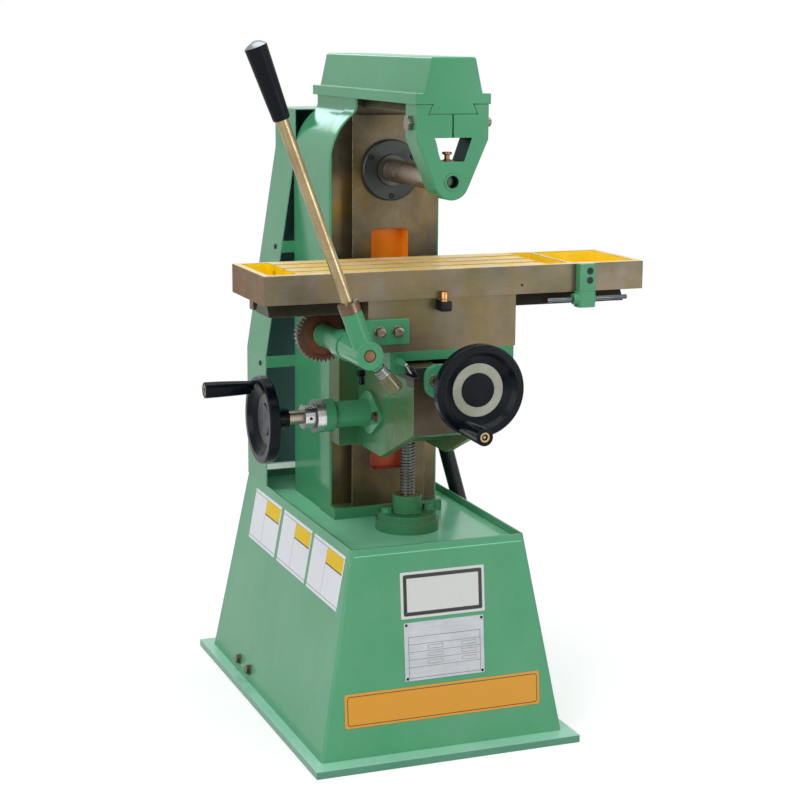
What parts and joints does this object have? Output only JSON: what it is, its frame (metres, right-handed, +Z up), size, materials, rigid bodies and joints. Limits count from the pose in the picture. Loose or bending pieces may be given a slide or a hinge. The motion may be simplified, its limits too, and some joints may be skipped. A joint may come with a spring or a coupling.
{
  "type": "horizontal milling machine",
  "caption": "Hand-fed horizontal milling machine: lever-fed table on a cross saddle and cranked knee, dovetail column, overarm with arbor support, belt guard, tapered pedestal with drip tray.",
  "frame": {"origin": "on the floor under the centre of the base plate", "axes": "+X to the operator's right, +Y from the operator towards the belt guard, +Z up"},
  "size_m": [0.7802, 0.977, 1.2856],
  "materials": {
    "machine_green": "satin enamel on castings and sheet",
    "machined_iron": "milled and scraped, lightly oiled",
    "turned_steel": "turned",
    "dark_steel": "blackened",
    "gear_iron": "cut teeth, oxidised",
    "pulley_aluminium": "turned",
    "motor_grey": "satin",
    "bronze": "turned",
    "dial_chrome": "polished",
    "black_plastic": "moulded",
    "black_rubber": "moulded"
  },
  "bodies": {
    "frame": {"base_plate": "machine_green", "pedestal": "machine_green", "frame_bolts": "dark_steel", "column": "machine_green", "spindle_bearings": "turned_steel", "bearing_cover": "dark_steel", "nut_base": "machine_green", "elevating_nut": "bronze", "belt_guard": "machine_green", "guard_brackets": "machine_green", "guard_tie_bar": "turned_steel", "motor_plate": "machine_green", "motor": "motor_grey", "v_belt": "black_rubber", "power_conduit": "black_rubber", "conduit_glands": "black_plastic"},
    "overarm": {"overarm": "machine_green"},
    "support": {"arbor_support": "machine_green", "support_bush": "bronze", "support_clamp_bolt": "dark_steel"},
    "spindle": {"spindle": "turned_steel", "spindle_pulley": "pulley_aluminium", "arbor": "turned_steel", "arbor_collars": "turned_steel"},
    "motor_rotor": {"motor_shaft": "turned_steel", "motor_pulley": "pulley_aluminium"},
    "knee": {"knee": "machine_green", "knee_gib": "machined_iron", "crank_housing": "machine_green", "cross_bracket": "machine_green", "flange_bolts": "dark_steel"},
    "crank": {"crank_shaft": "turned_steel", "crank_dial": "dial_chrome", "knee_handwheel": "black_plastic", "crank_bevel": "gear_iron"},
    "knee_handle": {"knee_wheel_handle": "black_plastic"},
    "elevating_screw": {"elevating_screw": "turned_steel", "screw_bevel": "gear_iron"},
    "cross": {"cross_screw": "turned_steel", "cross_handwheel": "black_plastic", "cross_dial": "dial_chrome"},
    "cross_handle": {"cross_wheel_handle": "black_plastic"},
    "saddle": {"saddle": "machined_iron", "saddle_gib": "machined_iron", "cross_nut": "bronze", "feed_housing": "machine_green", "feed_housing_bolts": "dark_steel", "stop_dog": "dark_steel"},
    "table": {"table": "machined_iron", "table_rack": "machined_iron", "stop_block": "machine_green"},
    "stop_rod": {"stop_rod": "turned_steel"},
    "lever": {"lever_hub": "machine_green", "feed_shaft": "turned_steel", "feed_gear": "gear_iron", "lever_rod": "turned_steel", "lever_collar": "dark_steel", "lever_grip": "black_plastic"},
    "plunger": {"index_plunger": "turned_steel"}
  },
  "joints": [
    {"name": "spindle_turn", "type": "hinge", "parent": "frame", "child": "spindle", "pos_m": [0, 0, 1.0465], "axis": [0, 1, 0], "continuous": true},
    {"name": "motor_turn", "type": "hinge", "parent": "frame", "child": "motor_rotor", "pos_m": [0, 0.2, 0.545], "axis": [0, 1, 0], "continuous": true},
    {"name": "overarm_slide", "type": "slide", "parent": "frame", "child": "overarm", "axis": [0, 1, 0], "range_m": [-0.15, 0.007]},
    {"name": "support_slide", "type": "slide", "parent": "overarm", "child": "support", "axis": [0, 1, 0], "range_m": [-0.04, 0.007]},
    {"name": "knee_slide", "type": "slide", "parent": "frame", "child": "knee", "axis": [0, 0, 1], "range_m": [-0.0747, 0.1097]},
    {"name": "crank_turn", "type": "hinge", "parent": "knee", "child": "crank", "pos_m": [-0.2, -0.16, 0.608], "axis": [1, 0, 0], "range_deg": [-6600, 4500]},
    {"name": "screw_turn", "type": "hinge", "parent": "knee", "child": "elevating_screw", "pos_m": [0, -0.16, 0.5], "axis": [0, 0, 1], "range_deg": [-4500, 6600]},
    {"name": "knee_handle_spin", "type": "hinge", "parent": "crank", "child": "knee_handle", "pos_m": [-0.33, -0.11875, 0.6608], "axis": [1, 0, 0], "continuous": true},
    {"name": "cross_wheel_turn", "type": "hinge", "parent": "knee", "child": "cross", "pos_m": [0, -0.4, 0.7035], "axis": [0, 1, 0], "range_deg": [-4320, 2160]},
    {"name": "cross_handle_spin", "type": "hinge", "parent": "cross", "child": "cross_handle", "pos_m": [-0.03094, -0.54, 0.64407], "axis": [0, 1, 0], "continuous": true},
    {"name": "saddle_slide", "type": "slide", "parent": "knee", "child": "saddle", "axis": [0, 1, 0], "range_m": [-0.0299, 0.0598]},
    {"name": "table_slide", "type": "slide", "parent": "saddle", "child": "table", "axis": [1, 0, 0], "range_m": [-0.038, 0.067]},
    {"name": "lever_swing", "type": "hinge", "parent": "saddle", "child": "lever", "pos_m": [-0.182, -0.4, 0.766], "axis": [0, 1, 0], "range_deg": [-45, 80]},
    {"name": "plunger_pull", "type": "slide", "parent": "lever", "child": "plunger", "axis": [0.6561, 0, -0.7547], "range_m": [0, 0.006], "stiffness_N_per_m": 800, "springref_m": -0.004},
    {"name": "stop_rod_slide", "type": "slide", "parent": "table", "child": "stop_rod", "axis": [1, 0, 0], "range_m": [-0.04, 0.04]}
  ],
  "couplings": [
    {"joint": "motor_turn", "follows": "spindle_turn", "ratio": 1.1613},
    {"joint": "crank_turn", "follows": "knee_slide", "rad_per_m": -1047.2},
    {"joint": "screw_turn", "follows": "knee_slide", "rad_per_m": 1047.2},
    {"joint": "cross_wheel_turn", "follows": "saddle_slide", "rad_per_m": -1256.6},
    {"joint": "table_slide", "follows": "lever_swing", "m_per_rad": 0.0475}
  ]
}
